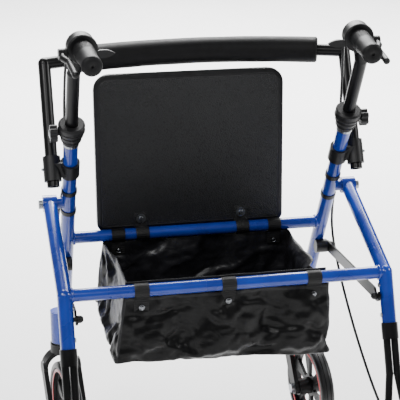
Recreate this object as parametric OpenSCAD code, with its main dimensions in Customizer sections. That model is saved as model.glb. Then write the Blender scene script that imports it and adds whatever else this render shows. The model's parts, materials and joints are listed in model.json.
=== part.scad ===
// Four-wheeled rollator walker with a flip-up seat, a tote bag, a padded back bar, loop brakes
// and a frame that folds front to back. Millimetres, +Z up, +Y is the walking direction.
// The origin is at floor level, under the middle of the whole walker.

/* [Frame] */
// Distance between the axes of the two main tubes
main_spacing = 490; // [430:1:600]
// Outside diameter of the main tubes and the rear legs
tube_d = 25.4; // [21:0.1:31]
// Wall of the main tubes
tube_wall = 1.6; // [1.2:0.1:2]
// Lean of the main tubes from upright, in degrees
lean = 29.5; // [26:0.5:32]
// Height of the crossbar axes above the floor
bar_z = 490; // [450:1:560]
// Outside diameter of the crossbars
bar_d = 22; // [18:0.1:25]
// Distance between the front and the rear crossbar
bar_gap = 278; // [240:1:320]
// Height of the main tubes' top ends
tube_top_z = 712; // [690:1:760]

/* [Rear legs and fold] */
// Rake of the rear legs from upright, in degrees
rake = 22; // [18:0.5:24]
// Gap between a main tube and the rear leg beside it
leg_gap = 8.6; // [8:0.1:12]
// Height of the fold pivot
pivot_z = 577; // [560:1:590]
// Diameter of the pivot bolts, the axles and the other M10 shafts
bolt_d = 10; // [8:0.1:12]
// Length of a rear leg below the crossbar, down to its fork collar
leg_drop = 88; // [80:1:110]
// Thickness of the lock strut
strut_t = 4; // [3:0.1:4.5]

/* [Wheels] */
// Radius of the wheels
wheel_r = 95; // [79:1:100]
// Width of a tyre
tyre_w = 28; // [22:1:34]
// Depth of a tyre from its tread to the rim
tyre_depth = 15; // [12:1:20]
// Diameter of a wheel's hub
hub_d = 34; // [28:1:40]
// How far a front wheel's axle trails behind its stem
trail = 42; // [34:1:50]
// Diameter of a caster stem
stem_d = 16; // [13:0.1:19]
// Distance of a caster stem outboard of the main tube
caster_offset = 9; // [6:1:12]
// How far the casters are turned, in degrees
caster_turn = 8; // [0:1:15]

/* [Handles] */
// Length of a handle post inside its main tube
post_inside = 165; // [150:1:180]
// Diameter of a hand grip
grip_d = 34; // [30:1:40]
// Length of a hand grip
grip_l = 87; // [70:1:100]
// Height of a grip's rear end
grip_z = 885; // [870:1:900]
// Diameter of a brake housing
housing_d = 48; // [42:1:54]

/* [Seat] */
// Width of the seat
seat_w = 357; // [300:1:368]
// Depth of the seat
seat_l = 289; // [250:1:310]
// Thickness of the seat board
board_t = 9; // [6:1:12]
// Thickness of the seat pad
pad_t = 23; // [15:1:28]
// Radius of the seat's free corners
seat_corner = 28; // [20:1:40]
// How far the raised seat leans forward of upright, in degrees
seat_lean = 2.4; // [0:0.1:5]

/* [Back bar] */
// Diameter of the back bar's tube
back_d = 22; // [18:0.1:24]
// Diameter of the foam sleeve
foam_d = 48; // [40:1:54]
// Length of the foam sleeve across the walker
foam_l = 456; // [400:1:470]
// Height of the back bar's axis
back_z = 824; // [815:1:860]
// How far the bar bows forward between its ends
back_bow = 50; // [30:1:60]

/* [Bag] */
// Width of the bag
bag_w = 360; // [300:1:380]
// Depth of the bag from its mouth to its floor
bag_h = 134; // [100:1:170]
// Thickness of the bag's cloth walls
bag_t = 2; // [1.5:0.1:3]
// Width of a bag strap and of a seat hinge tab
strap_w = 25; // [20:1:30]

/* [Hidden] */
$fn = 48;
// Radial clearance of a sliding or turning fit
fit = 0.08;
// Gap between two faces that pass each other
gap = 0.5;
// Overlap that lets a cut run clear past a face
past = 1;
// How much wider a bead at a corner is than the bars it joins
bead_over = 0.5;

// Lateral places of the main tubes, rear legs, struts, caster stems and back bar legs
main_x = main_spacing / 2;
rear_x = main_x + tube_d + leg_gap;
strut_x = main_x + tube_d / 2 + leg_gap / 2;
caster_x = main_x + caster_offset;
bore_d = tube_d - 2 * tube_wall;
post_d = bore_d - 2 * fit;

// Wheels: half lengths of the hubs, the forks round them, and the rim
front_hub = 29;
rear_hub = 20;
rim_r = wheel_r - tyre_depth;
axle_head = 7;
axle_head_d = 1.8 * bolt_d;

// Front fork: legs, arch over the tyre, crown and head tube
fork_in = max(front_hub, tyre_w / 2 + 12) + gap;
fork_leg = 9;
fork_out = fork_in + fork_leg;
fork_depth = 30;
tyre_clear = 4;
arch_z = 2 * wheel_r - sqrt(pow(fork_in - tyre_clear, 2) - pow(tyre_w / 2, 2));
crown_top = arch_z + fork_out + 14;
crown_d = stem_d + 24;
flange_t = 2.4;
head_z = crown_top + flange_t + gap;
head_h = 66;
head_d = stem_d + 20;
stem_sunk = 20;

// Fore-and-aft places, worked out from the front crossbar, whose place centres the whole walker
axle_s = (bar_z - wheel_r) / cos(rake);
head_mid_z = head_z + head_h / 2;
front_reach = (bar_z - head_mid_z) * tan(lean) - trail * cos(caster_turn) + wheel_r * cos(caster_turn);
rear_reach = bar_gap + axle_s * sin(rake) + wheel_r;
bar_y = (rear_reach - front_reach) / 2;
rear_bar_y = bar_y - bar_gap;
function main_y(z) = bar_y - (z - bar_z) * tan(lean);
caster_y = main_y(head_mid_z);
main_foot_z = head_mid_z - 6;
main_l = (tube_top_z - main_foot_z) / cos(lean);
pivot_y = main_y(pivot_z);

// Rear leg: a point "s" down the leg, "x" outboard of its axis and "p" in front of it
function leg_pt(s, x = 0, p = 0) = [
  rear_x + x, rear_bar_y - s * sin(rake) + p * cos(rake), bar_z - s * cos(rake) - p * sin(rake)];
eye_d = bolt_d + 20;
collar_d = tube_d + 2 * (leg_gap / 2 - strut_t / 2 - gap);
collar_l = 28;
collar_floor = 8;
prong_d = 13;
prong_top_x = 7;
prong_split_s = leg_drop + collar_l + 60;
prong_x = rear_hub + gap + prong_d / 2;
prong_knee_x = max(prong_x - 2, tyre_w / 2 + prong_d / 2 + 3);
prong_knee_s = axle_s - wheel_r - 12;

// Rear brake: the arm turns on a bar between the prongs and carries a shoe over the tyre
bridge_s = axle_s - wheel_r - 33;
arm_w = 14;
shoe_d = 12;
shoe_l = 22;
shoe_gap = 2.5;
shoe_p = 20;
shoe_s = axle_s - sqrt(pow(wheel_r + shoe_gap + shoe_d / 2, 2) - shoe_p * shoe_p);
hook_p = 34;
hook_d = 9;

// Lock strut: it turns on a bracket in front and hooks up under a catch pin on the rear leg
strut_a = [bar_y + 8, bar_z - 54];
pin_s = 40;
pin_d = 8;
pin_cap_d = 13;
pin_cap_l = 9;
bolt_cap = 1.6;
strut_b = [leg_pt(pin_s)[1], leg_pt(pin_s)[2]];
strut_w = 20;
bracket_d = 26;

// Handles: the post leaves the main tube's line at bend_z, and the grip's axis dips and toes in
bend_z = 850;
grip_dip = 5.8;
grip_toe = 3.1;
grip_end = [main_x - 18, main_y(bend_z + 10) - 110, grip_z];
function grip_pt(y) = grip_end + y * [
  sin(grip_toe) * cos(grip_dip), cos(grip_toe) * cos(grip_dip), sin(grip_dip)];
housing_l = 38;
clamp_h = 44;
clamp_foot_d = tube_d + 4;
clamp_top_d = tube_d + 21;
knob_d = 30;
knob_t = 13;
stud_d = 8;
ring_h = 5;

// Brake lever beside and below the grip, and the housing's leaf-shaped thumb tab on the inner side
lever_d = 11;
lever_x = grip_d / 2 + lever_d / 2 + 3;
lever_z = -9;
lever_l = 92;
lever_neck = 17;
lever_knee = 34;
lever_pivot_y = grip_l + 14;
tab_r = 30;
tab_half = 7;
tab_thick = 4;

// Back bar: an arc, a corner at each end, and legs that slide into sockets on the main tubes
back_end_x = main_x + 12;
back_r = (back_end_x * back_end_x + back_bow * back_bow) / (2 * back_bow);
back_leg_x = main_x + tube_d / 2 + back_d / 2 + 7.5;
back_arc = asin(back_leg_x / back_r);
back_knee = [bar_y + back_bow - back_r * (1 - cos(back_arc)), back_z];
foam_arc = asin(foam_l / 2 / back_r);
socket_z = 655;
back_lean = atan2(back_knee[0] - main_y(socket_z), back_knee[1] - socket_z);
back_foot = 32;
back_leg_l = (back_knee[1] - socket_z) / cos(back_lean) + back_foot;
socket_l = 44;
socket_wall = 4.5;
button_d = 6;
button_in = 4;
button_out = 3.5;

// Seat: it hangs on two tabs round the front crossbar
seat_x = -8;
seat_start = 12;
tab_t = 2.4;
seat_under = bar_d / 2 + fit + tab_t;
tab_spacing = 192;
tab_l = 38;
screw_up = 26;
washer_d = 18;
seat_foot_corner = 8;

// Bag straps: loops round the crossbars, with a snap on each tail
loop_t = 1.4;
tail_l = 27;
snap_d = 11;
snap_t = 2.5;
strap_side = 150;
bag_top_z = bar_z - bar_d / 2 - 3;
bag_front_y = bar_y;
bag_rear_y = rear_bar_y;
front_strap_x = [-strap_side, strap_side];
rear_strap_x = [-strap_side, 0, strap_side];

// Cable routes on the right-hand side: [x, y ahead of the front crossbar, z]
cable_d = 5;
upper_route = [
  [234, -193, 898], [236, -160, 900], [241, -120, 884], [247, -96, 840],
  [250, -84, 780], [251, -78, 720], [252, -72, 672], [253, -50, 611]];
lower_route = [
  [253, -50, 611], [260, -28, 562], [265, -4, 508], [268, 0, 470], [269, -24, 430],
  [269, -80, 380], [270, -160, 322], [273, -250, 266], [278, -326, 226], [279, -350, 215]];
clip_z = [605, 560];
clip_t = 1.6;
clip_w = 9;

blue = "#0A3D9E";
black = "#151517";
steel = "#9A9DA2";

module mirrored(side) {
  if (side < 0) mirror([1, 0, 0]) children();
  else children();
}

module both_sides() {
  for (side = [-1, 1]) mirrored(side) children();
}

// A round bar from point a to point b
module rod(a, b, d) {
  v = b - a;
  translate(a) rotate([0, acos(v[2] / norm(v)), atan2(v[1], v[0])]) cylinder(d = d, h = norm(v));
}

module ball(p, d) {
  translate(p) sphere(d = d);
}

// A bead that closes the corner where two round bars of diameter d meet
module bead(p, d) {
  ball(p, d + bead_over);
}

// A cylinder along +X from point p
module along_x(p, d, h) {
  translate(p) rotate([0, 90, 0]) cylinder(d = d, h = h);
}

// A round-ended plate in the YZ plane from [y, z] a to [y, z] b, from x to x + t
module link_plate(x, t, a, b, d) {
  for (p = [a, b]) along_x([x, p[0], p[1]], d, t);
  translate([x, a[0], a[1]]) rotate([atan2(b[1] - a[1], b[0] - a[0]), 0, 0])
    translate([0, 0, -d / 2]) cube([t, norm(b - a), d]);
}

// Children stand on the right-hand main tube's axis at height z, with +Z up the tube
module on_main(z) {
  translate([main_x, main_y(z), z]) rotate([lean, 0, 0]) children();
}

// Children stand on the right-hand rear leg's axis, s down the leg, with +Z up the leg
module on_leg(s) {
  translate(leg_pt(s)) rotate([-rake, 0, 0]) children();
}

// Children lie on the right-hand grip's axis, y = 0 at its rear end and +Y forward
module on_grip(y = 0) {
  translate(grip_pt(y)) rotate([grip_dip, 0, -grip_toe]) children();
}

// Children stand on a caster's stem axis, turned with the caster
module on_caster(side) {
  translate([side * caster_x, caster_y, 0]) rotate([0, 0, caster_turn]) children();
}

module main_tube_cut() {
  on_main(main_foot_z) cylinder(d = tube_d, h = main_l);
}

module frame_tube() {
  color(blue) difference() {
    union() {
      main_tube_cut();
      translate([caster_x, caster_y, head_z]) cylinder(d = head_d, h = head_h);
      along_x([main_x, pivot_y, pivot_z], 2 * bolt_d, tube_d / 2 + leg_gap - gap);
    }
    on_main(head_z + head_h + 30) cylinder(d = bore_d, h = main_l);
    translate([caster_x, caster_y, head_z - past]) cylinder(d = stem_d + 2 * fit, h = head_h - 8 + past);
    along_x([main_x + tube_d / 2 + gap, pivot_y, pivot_z], bolt_d, leg_gap);
  }
}

module front_crossbar() {
  color(blue) difference() {
    along_x([-main_x, bar_y, bar_z], bar_d, main_spacing);
    along_x([-main_x, bar_y, bar_z], bar_d - 2 * tube_wall, main_spacing);
    both_sides() main_tube_cut();
  }
}

module tube_end_rings() {
  color(steel) both_sides() on_main(tube_top_z) translate([0, 0, -ring_h]) difference() {
    cylinder(d = tube_d + 3, h = ring_h);
    translate([0, 0, -past]) cylinder(d = tube_d, h = ring_h + 2 * past);
  }
}

module height_clamps() {
  color(black) both_sides() on_main(tube_top_z) difference() {
    union() {
      cylinder(d1 = clamp_foot_d, d2 = clamp_top_d, h = clamp_h - 10);
      translate([0, 0, clamp_h - 10]) cylinder(d = clamp_top_d, h = 7);
      translate([0, 0, clamp_h - 3]) cylinder(d1 = clamp_top_d, d2 = clamp_top_d - 6, h = 3);
    }
    translate([0, 0, -past]) cylinder(d = bore_d, h = clamp_h + 2 * past);
    translate([bore_d / 2 + past, 0, clamp_h / 2]) rotate([0, 90, 0])
      cylinder(d = stud_d + 2 * fit, h = clamp_top_d);
  }
}

module clamp_knob() {
  color(black) on_main(tube_top_z) translate([0, 0, clamp_h / 2]) rotate([0, 90, 0]) {
    translate([0, 0, bore_d / 2 + 1.5 * past]) cylinder(d = stud_d, h = clamp_top_d / 2 - bore_d / 2 + 4);
    translate([0, 0, clamp_top_d / 2 + gap]) difference() {
      cylinder(d = knob_d, h = knob_t);
      for (a = [0:60:300]) rotate(a) translate([knob_d / 2 + 4, 0, -past])
        cylinder(d = 13, h = knob_t + 2 * past);
    }
  }
}

module fold_pivot_bolts() {
  color(steel) both_sides() {
    along_x([main_x + tube_d / 2 + gap, pivot_y, pivot_z], bolt_d, leg_gap + tube_d);
    along_x([rear_x + tube_d / 2 + gap, pivot_y, pivot_z], axle_head_d, axle_head);
  }
}

// The bracket's stud carries the strut, and its cap holds the strut on
module strut_brackets() {
  at = [main_x - 8, strut_a[0], strut_a[1]];
  inner = strut_x - strut_t / 2 - 0.4;
  color(black) both_sides() difference() {
    union() {
      along_x(at, bracket_d, inner - at[0]);
      along_x(at, pin_d, strut_x + strut_t / 2 + 6 - at[0]);
      along_x([strut_x + strut_t / 2 + 0.4, at[1], at[2]], 2 * pin_d, 6);
    }
    main_tube_cut();
  }
}

module lock_struts() {
  notch_r = pin_d / 2 + 0.4;
  color(black) both_sides() difference() {
    link_plate(strut_x - strut_t / 2, strut_t, strut_a, strut_b, strut_w);
    along_x([strut_x - strut_t, strut_a[0], strut_a[1]], pin_d + 2 * fit, 2 * strut_t);
    along_x([strut_x - strut_t, strut_b[0], strut_b[1]], 2 * notch_r, 2 * strut_t);
    translate([strut_x - strut_t, strut_b[0], strut_b[1]]) rotate([90, 0, 90])
      linear_extrude(2 * strut_t)
        polygon([
          [-notch_r, 0], [-notch_r, strut_w], [6 * notch_r, strut_w], [notch_r * 0.7, -notch_r * 0.7]]);
  }
}

module catch_pins() {
  inner = strut_x - strut_t / 2 - gap - pin_cap_l;
  color(black) both_sides() difference() {
    translate([inner, strut_b[0], strut_b[1]]) rotate([0, 90, 0]) rotate_extrude() polygon([
      [0, 0], [pin_cap_d * 0.25, 0], [pin_cap_d * 0.42, 2], [pin_cap_d / 2, 5], [pin_cap_d / 2, pin_cap_l],
      [pin_d / 2, pin_cap_l], [pin_d / 2, rear_x - inner], [0, rear_x - inner]]);
    rod(leg_pt(0), leg_pt(leg_drop), tube_d);
  }
}

module leg_bolts() {
  color(steel) both_sides() difference() {
    for (s = [22, leg_drop - 14]) along_x(leg_pt(s, -tube_d / 2 - bolt_cap), 8, 6);
    rod(leg_pt(0), leg_pt(leg_drop), tube_d);
  }
}

module rear_leg() {
  eye = [rear_x, pivot_y, pivot_z];
  color(blue) difference() {
    union() {
      rod(leg_pt(0), leg_pt(leg_drop + collar_l - collar_floor), tube_d);
      bead(leg_pt(0), tube_d);
      rod(leg_pt(0), eye, tube_d);
      along_x(eye - [tube_d / 2, 0, 0], eye_d, tube_d);
    }
    along_x(eye - [tube_d, 0, 0], bolt_d + 2 * fit, 2 * tube_d);
    rod(leg_pt(tube_d), leg_pt(leg_drop + collar_l), bore_d);
  }
}

module rear_crossbar() {
  color(blue) difference() {
    along_x([-rear_x, rear_bar_y, bar_z], bar_d, 2 * rear_x);
    along_x([-rear_x, rear_bar_y, bar_z], bar_d - 2 * tube_wall, 2 * rear_x);
    both_sides() {
      rod(leg_pt(-tube_d), leg_pt(tube_d), tube_d);
      rod(leg_pt(0), [rear_x, pivot_y, pivot_z], tube_d);
      bead(leg_pt(0), tube_d);
    }
  }
}

module rear_fork() {
  color(black) difference() {
    union() {
      on_leg(leg_drop + collar_l) cylinder(d = collar_d, h = collar_l);
      for (t = [-1, 1]) {
        rod(leg_pt(leg_drop + collar_l - 4, t * prong_top_x),
          leg_pt(prong_split_s, t * prong_top_x), prong_d);
        bead(leg_pt(prong_split_s, t * prong_top_x), prong_d);
        rod(leg_pt(prong_split_s, t * prong_top_x), leg_pt(prong_knee_s, t * prong_knee_x), prong_d);
        bead(leg_pt(prong_knee_s, t * prong_knee_x), prong_d);
        rod(leg_pt(prong_knee_s, t * prong_knee_x), leg_pt(axle_s, t * prong_x), prong_d);
        along_x(leg_pt(axle_s, t * prong_x - prong_d / 2), 2.2 * bolt_d, prong_d);
      }
      along_x(leg_pt(bridge_s, -prong_knee_x), bolt_d, 2 * prong_knee_x);
    }
    on_leg(leg_drop + collar_l - collar_floor) cylinder(d = tube_d, h = collar_l);
    along_x(leg_pt(axle_s, -rear_x), bolt_d, 2 * rear_x);
    on_leg(axle_s) rotate([0, 90, 0]) cylinder(r = wheel_r + 1, h = 2 * (rear_hub + gap), center = true);
  }
}

module brake_arm() {
  pivot = leg_pt(bridge_s);
  shoe = leg_pt(shoe_s, 0, shoe_p);
  hook = leg_pt(bridge_s - 8, 0, hook_p);
  color(black) difference() {
    union() {
      along_x(pivot - [arm_w / 2, 0, 0], 2 * bolt_d, arm_w);
      link_plate(rear_x - arm_w / 4, arm_w / 2, [pivot[1], pivot[2]], [shoe[1], shoe[2]], 10);
      link_plate(rear_x - arm_w / 4, arm_w / 2, [pivot[1], pivot[2]], [hook[1], hook[2]], hook_d);
      along_x(shoe - [shoe_l / 2, 0, 0], shoe_d, shoe_l);
    }
    along_x(pivot - [arm_w, 0, 0], bolt_d + 2 * fit, 2 * arm_w);
  }
}

module rear_axles() {
  color(steel) both_sides() {
    along_x(leg_pt(axle_s, -prong_x - prong_d / 2 - axle_head), bolt_d,
      2 * prong_x + prong_d + 2 * axle_head);
    for (x = [-prong_x - prong_d / 2 - axle_head, prong_x + prong_d / 2])
      along_x(leg_pt(axle_s, x), axle_head_d, axle_head);
  }
}

// A strap loop round a crossbar at [x, y], with its tail hanging against the face at tail_y
module bag_strap(x, y, tail_y) {
  difference() {
    union() {
      along_x([x - strap_w / 2, y, bar_z], bar_d + 2 * loop_t, strap_w);
      translate([x - strap_w / 2, tail_y, bar_z - bar_d / 2 - tail_l]) cube([strap_w, loop_t, tail_l]);
    }
    along_x([x - strap_w, y, bar_z], bar_d, 2 * strap_w);
  }
}

module snap(x, y) {
  translate([x, y, bar_z - bar_d / 2 - tail_l + 8]) rotate([90, 0, 0]) {
    cylinder(d = snap_d, h = snap_t / 2);
    cylinder(d = snap_d * 0.7, h = snap_t);
  }
}

module bag_front_straps() {
  color(black) for (x = front_strap_x) bag_strap(x, bar_y, bag_front_y - loop_t);
}

module bag_front_snaps() {
  color(steel) for (x = front_strap_x) snap(x, bag_front_y - loop_t);
}

module bag_rear_straps() {
  color(black) for (x = rear_strap_x) bag_strap(x, rear_bar_y, bag_rear_y - loop_t);
}

module bag_rear_snaps() {
  color(steel) for (x = rear_strap_x) snap(x, bag_rear_y - loop_t);
}

module bag() {
  depth = bag_front_y + bag_t - bag_rear_y;
  color(black) translate([-bag_w / 2, bag_rear_y, bag_top_z - bag_h]) difference() {
    cube([bag_w, depth, bag_h]);
    translate([bag_t, bag_t, bag_t]) cube([bag_w - 2 * bag_t, depth - 2 * bag_t, bag_h]);
  }
}

module handle_post() {
  straight = post_inside + (bend_z - tube_top_z) / cos(lean);
  color(black) difference() {
    union() {
      on_main(tube_top_z) translate([0, 0, -post_inside]) cylinder(d = post_d, h = straight);
      bead([main_x, main_y(bend_z), bend_z], post_d);
      handle_core();
    }
    on_main(tube_top_z) translate([0, 0, -post_inside - past]) cylinder(d = post_d - 3, h = straight - 6);
  }
}

// The bent top of a handle post, which runs through its brake housing and into its grip
module handle_core() {
  corner = grip_pt(grip_l + 8);
  rod([main_x, main_y(bend_z), bend_z], corner, post_d);
  bead(corner, post_d);
  rod(corner, grip_pt(4), post_d);
}

module hand_grip() {
  rim = 3;
  color(black) difference() {
    on_grip() rotate([-90, 0, 0]) rotate_extrude() polygon([
      [0, 0], [grip_d / 2 - rim, 0], [grip_d / 2, rim], [grip_d / 2, grip_l - rim],
      [grip_d / 2 - rim, grip_l], [0, grip_l]]);
    handle_core();
  }
}

module brake_housing() {
  nose = 10;
  color(black) difference() {
    union() {
      on_grip(grip_l + gap) rotate([-90, 0, 0]) rotate_extrude() polygon([
        [0, 0], [housing_d / 2 - 4, 0], [housing_d / 2, 4], [housing_d / 2, housing_l - nose],
        [housing_d / 2 - nose, housing_l], [0, housing_l]]);
      on_grip(lever_pivot_y) translate([housing_d / 2 - 4, 0, lever_z]) rotate([0, 90, 0])
        cylinder(d = 20, h = 7);
      on_grip(grip_l + 7) translate([-housing_d / 2 - 10, 0, lever_z]) rotate([90, 0, 0])
        linear_extrude(tab_thick) intersection_for(side = [-1, 1])
          translate([0, side * (tab_r - tab_half)]) circle(r = tab_r, $fn = 96);
    }
    handle_core();
    on_grip(lever_pivot_y) translate([housing_d / 2 + 3 - gap, 0, lever_z]) rotate([0, 90, 0])
      cylinder(d = 24, h = lever_d + 2);
  }
}

module brake_lever() {
  lever_out = housing_d / 2 + 3 + lever_d / 2;
  color(black) {
    on_grip(lever_pivot_y) {
      translate([lever_out - lever_d / 2, 0, lever_z]) rotate([0, 90, 0]) cylinder(d = 18, h = lever_d);
      rod([lever_out, 0, lever_z], [lever_out, -lever_neck, lever_z - 2], lever_d);
      bead([lever_out, -lever_neck, lever_z - 2], lever_d);
      rod([lever_out, -lever_neck, lever_z - 2], [lever_x, -lever_knee, lever_z - 3], lever_d);
      bead([lever_x, -lever_knee, lever_z - 3], lever_d);
      rod([lever_x, -lever_knee, lever_z - 3], [lever_x, -lever_l, lever_z - 5], lever_d);
      bead([lever_x, -lever_l, lever_z - 5], lever_d);
    }
  }
}

module backrest_tube() {
  knee = [back_leg_x, back_knee[0], back_knee[1]];
  color(black) difference() {
    union() {
      translate([0, bar_y + back_bow - back_r, back_z]) rotate(90 - back_arc)
        rotate_extrude(angle = 2 * back_arc) translate([back_r, 0]) difference() {
          circle(d = back_d);
          circle(d = back_d - 2 * tube_wall);
        }
      both_sides() {
        bead(knee, back_d);
        on_back_leg(0) translate([0, 0, -back_foot]) cylinder(d = back_d, h = back_leg_l);
      }
    }
    both_sides() {
      on_back_leg(0) translate([0, 0, -back_foot - past])
        cylinder(d = back_d - 2 * tube_wall, h = back_leg_l - back_d);
      along_x([back_leg_x, main_y(socket_z), socket_z], button_d + 2 * fit, back_d);
    }
  }
}

// Children stand on the right-hand back bar leg's axis, z above the socket's middle
module on_back_leg(z) {
  translate([back_leg_x, main_y(socket_z), socket_z]) rotate([-back_lean, 0, 0])
    translate([0, 0, z]) children();
}

module backrest_foam() {
  color(black) translate([0, bar_y + back_bow - back_r, back_z]) rotate(90 - foam_arc)
    rotate_extrude(angle = 2 * foam_arc) translate([back_r, 0]) difference() {
      circle(d = foam_d);
      circle(d = back_d);
    }
}

module backrest_sockets() {
  color(black) both_sides() difference() {
    union() {
      on_main(socket_z) cylinder(d = tube_d + 2 * socket_wall, h = 30, center = true);
      on_back_leg(0) cylinder(d = back_d + 2 * socket_wall, h = socket_l, center = true);
      translate([main_x, main_y(socket_z) - 11, socket_z - 13]) cube([back_leg_x - main_x, 22, 26]);
    }
    main_tube_cut();
    on_back_leg(0) cylinder(d = back_d + 2 * fit, h = 2 * socket_l, center = true);
    on_back_leg(0) translate([0, -button_d / 2 - gap, -button_d / 2 - gap])
      cube([back_d, button_d + 2 * gap, socket_l]);
  }
}

module snap_button() {
  at = [back_leg_x, main_y(socket_z), socket_z];
  color(steel) {
    along_x(at + [button_in, 0, 0], button_d, back_d / 2 + socket_wall + button_out - button_in - 2);
    along_x(at + [back_d / 2 + socket_wall + button_out - 2, 0, 0], button_d - 2, 2);
    along_x(at + [button_in, 0, 0], button_d + 3, 1.6);
  }
}

// A plate with round upper corners, standing in the XZ plane, from y = 0 to y = t
module seat_slab(t) {
  translate([0, t, 0]) rotate([90, 0, 0]) linear_extrude(t) {
    for (x = [-seat_w / 2 + seat_corner, seat_w / 2 - seat_corner])
      translate([x, seat_l - seat_corner]) circle(r = seat_corner);
    for (x = [-seat_w / 2 + seat_foot_corner, seat_w / 2 - seat_foot_corner])
      translate([x, seat_foot_corner]) circle(r = seat_foot_corner);
    translate([-seat_w / 2, seat_foot_corner]) square([seat_w, seat_l - seat_corner - seat_foot_corner]);
    translate([-seat_w / 2 + seat_corner, seat_foot_corner])
      square([seat_w - 2 * seat_corner, seat_l - seat_foot_corner]);
    translate([-seat_w / 2 + seat_foot_corner, 0]) square([seat_w - 2 * seat_foot_corner, seat_corner]);
  }
}

// Children stand on the front crossbar's axis, leaning with the raised seat
module on_seat() {
  translate([seat_x, bar_y, bar_z]) rotate([-seat_lean, 0, 0]) children();
}

module seat_board() {
  color(black) on_seat() difference() {
    translate([0, seat_under, seat_start]) seat_slab(board_t);
    seat_screw_shanks();
  }
}

module seat_pad() {
  color(black) on_seat() translate([0, seat_under + board_t, seat_start]) seat_slab(pad_t);
}

module seat_screw_shanks() {
  for (x = [-tab_spacing / 2, tab_spacing / 2]) translate([x, seat_under - tab_t, screw_up])
    rotate([-90, 0, 0]) cylinder(d = 5, h = tab_t + board_t - 1);
}

module seat_hinge_tabs() {
  color(black) on_seat() difference() {
    for (x = [-tab_spacing / 2, tab_spacing / 2]) {
      along_x([x - strap_w / 2, 0, 0], 2 * seat_under, strap_w);
      translate([x - strap_w / 2, seat_under - tab_t, 0]) cube([strap_w, tab_t, tab_l]);
    }
    along_x([-seat_w / 2, 0, 0], bar_d + 2 * fit, seat_w);
    seat_screw_shanks();
  }
}

module seat_screws() {
  color(steel) on_seat() {
    seat_screw_shanks();
    for (x = [-tab_spacing / 2, tab_spacing / 2]) translate([x, seat_under - tab_t, screw_up])
      rotate([90, 0, 0]) {
        cylinder(d = washer_d, h = 1.4);
        cylinder(d1 = 10, d2 = 6, h = 4);
      }
  }
}

// The lower tabs of a fork are cut round its axle, and the crown is bored for its stem
module caster_fork(side) {
  inset = 0.4;
  fork_web = fork_depth - 6;
  color(black) on_caster(side) difference() {
    union() {
      translate([0, 0, arch_z]) rotate([90, 0, 0]) rotate_extrude(angle = 180)
        translate([fork_in + inset, -fork_web / 2 - inset])
          square([fork_leg - 2 * inset, fork_web + 2 * inset]);
      translate([0, 0, arch_z + fork_in + 2]) cylinder(d = crown_d, h = crown_top - arch_z - fork_in - 2);
      for (x = [-fork_out, fork_in]) {
        along_x([x, 0, arch_z], fork_depth, fork_leg);
        along_x([x, -trail, wheel_r], fork_depth - 2, fork_leg);
        translate([x, 0, arch_z]) rotate([atan2(trail, wheel_r - arch_z), 0, 0])
          translate([0, -fork_web / 2, 0]) cube([fork_leg, fork_web, norm([trail, wheel_r - arch_z])]);
      }
    }
    along_x([-2 * fork_out, -trail, wheel_r], bolt_d, 4 * fork_out);
    translate([0, 0, crown_top - stem_sunk]) cylinder(d = stem_d, h = stem_sunk + past);
  }
}

module caster_stem(side) {
  color(steel) on_caster(side) {
    translate([0, 0, crown_top - stem_sunk]) cylinder(d = stem_d, h = stem_sunk + flange_t + head_h - 12);
    translate([0, 0, crown_top]) cylinder(d = head_d - 4, h = flange_t);
  }
}

module front_axle(side) {
  color(steel) on_caster(side) {
    along_x([-fork_out - axle_head, -trail, wheel_r], bolt_d, 2 * fork_out + 2 * axle_head);
    for (x = [-fork_out - axle_head, fork_out]) along_x([x, -trail, wheel_r], axle_head_d, axle_head);
  }
}

// A moulded wheel about the X axis: hub, webbed disc with six windows, and rim
module wheel(hub_half) {
  rim_t = 7;
  rim_w = tyre_w - 6;
  web_t = 7;
  windows = 6;
  color(black) rotate([0, 90, 0]) difference() {
    union() {
      cylinder(d = hub_d, h = 2 * hub_half, center = true);
      cylinder(r = rim_r - 1, h = web_t, center = true);
      rotate_extrude() translate([rim_r - rim_t, -rim_w / 2]) square([rim_t, rim_w]);
    }
    cylinder(d = bolt_d + 2 * fit, h = 4 * hub_half, center = true);
    for (i = [0:windows - 1]) rotate(i * 360 / windows) rotate_extrude(angle = 38)
      translate([hub_d / 2 + 6, -web_t]) square([rim_r - rim_t - hub_d / 2 - 12, 2 * web_t]);
  }
}

module tyre() {
  w = tyre_w / 2;
  color(black) rotate([0, 90, 0]) rotate_extrude() polygon([
    [rim_r, 4 - w], [rim_r + 3, -w], [wheel_r - 5, -w], [wheel_r - 1, 3 - w], [wheel_r, 5 - w],
    [wheel_r, w - 5], [wheel_r - 1, w - 3], [wheel_r - 5, w], [rim_r + 3, w], [rim_r, w - 4]]);
}

module front_wheel_at(side) {
  on_caster(side) translate([0, -trail, wheel_r]) children();
}

module rear_wheel_at(side) {
  mirrored(side) translate(leg_pt(axle_s)) children();
}

// Bands round the main tubes that hold the brake cables
module cable_clips() {
  color(black) both_sides() for (z = clip_z) on_main(z) difference() {
    cylinder(d = tube_d + 2 * clip_t, h = clip_w, center = true);
    cylinder(d = tube_d, h = 2 * clip_w, center = true);
  }
}

// A point between p1 and p2 on the smooth curve through four points of a route, t from 0 to 1
function curve_pt(p0, p1, p2, p3, t) =
  p1 + (p2 - p0) * t / 2 + (2 * p0 - 5 * p1 + 4 * p2 - p3) * t * t / 2
  + (3 * p1 - p0 - 3 * p2 + p3) * t * t * t / 2;

// The route with "steps" points for each of its stretches
function smooth(route, steps) = [
  for (i = [0:len(route) - 2]) for (k = [0:steps - 1])
    curve_pt(route[max(i - 1, 0)], route[i], route[i + 1], route[min(i + 2, len(route) - 1)], k / steps),
  route[len(route) - 1]];

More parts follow.
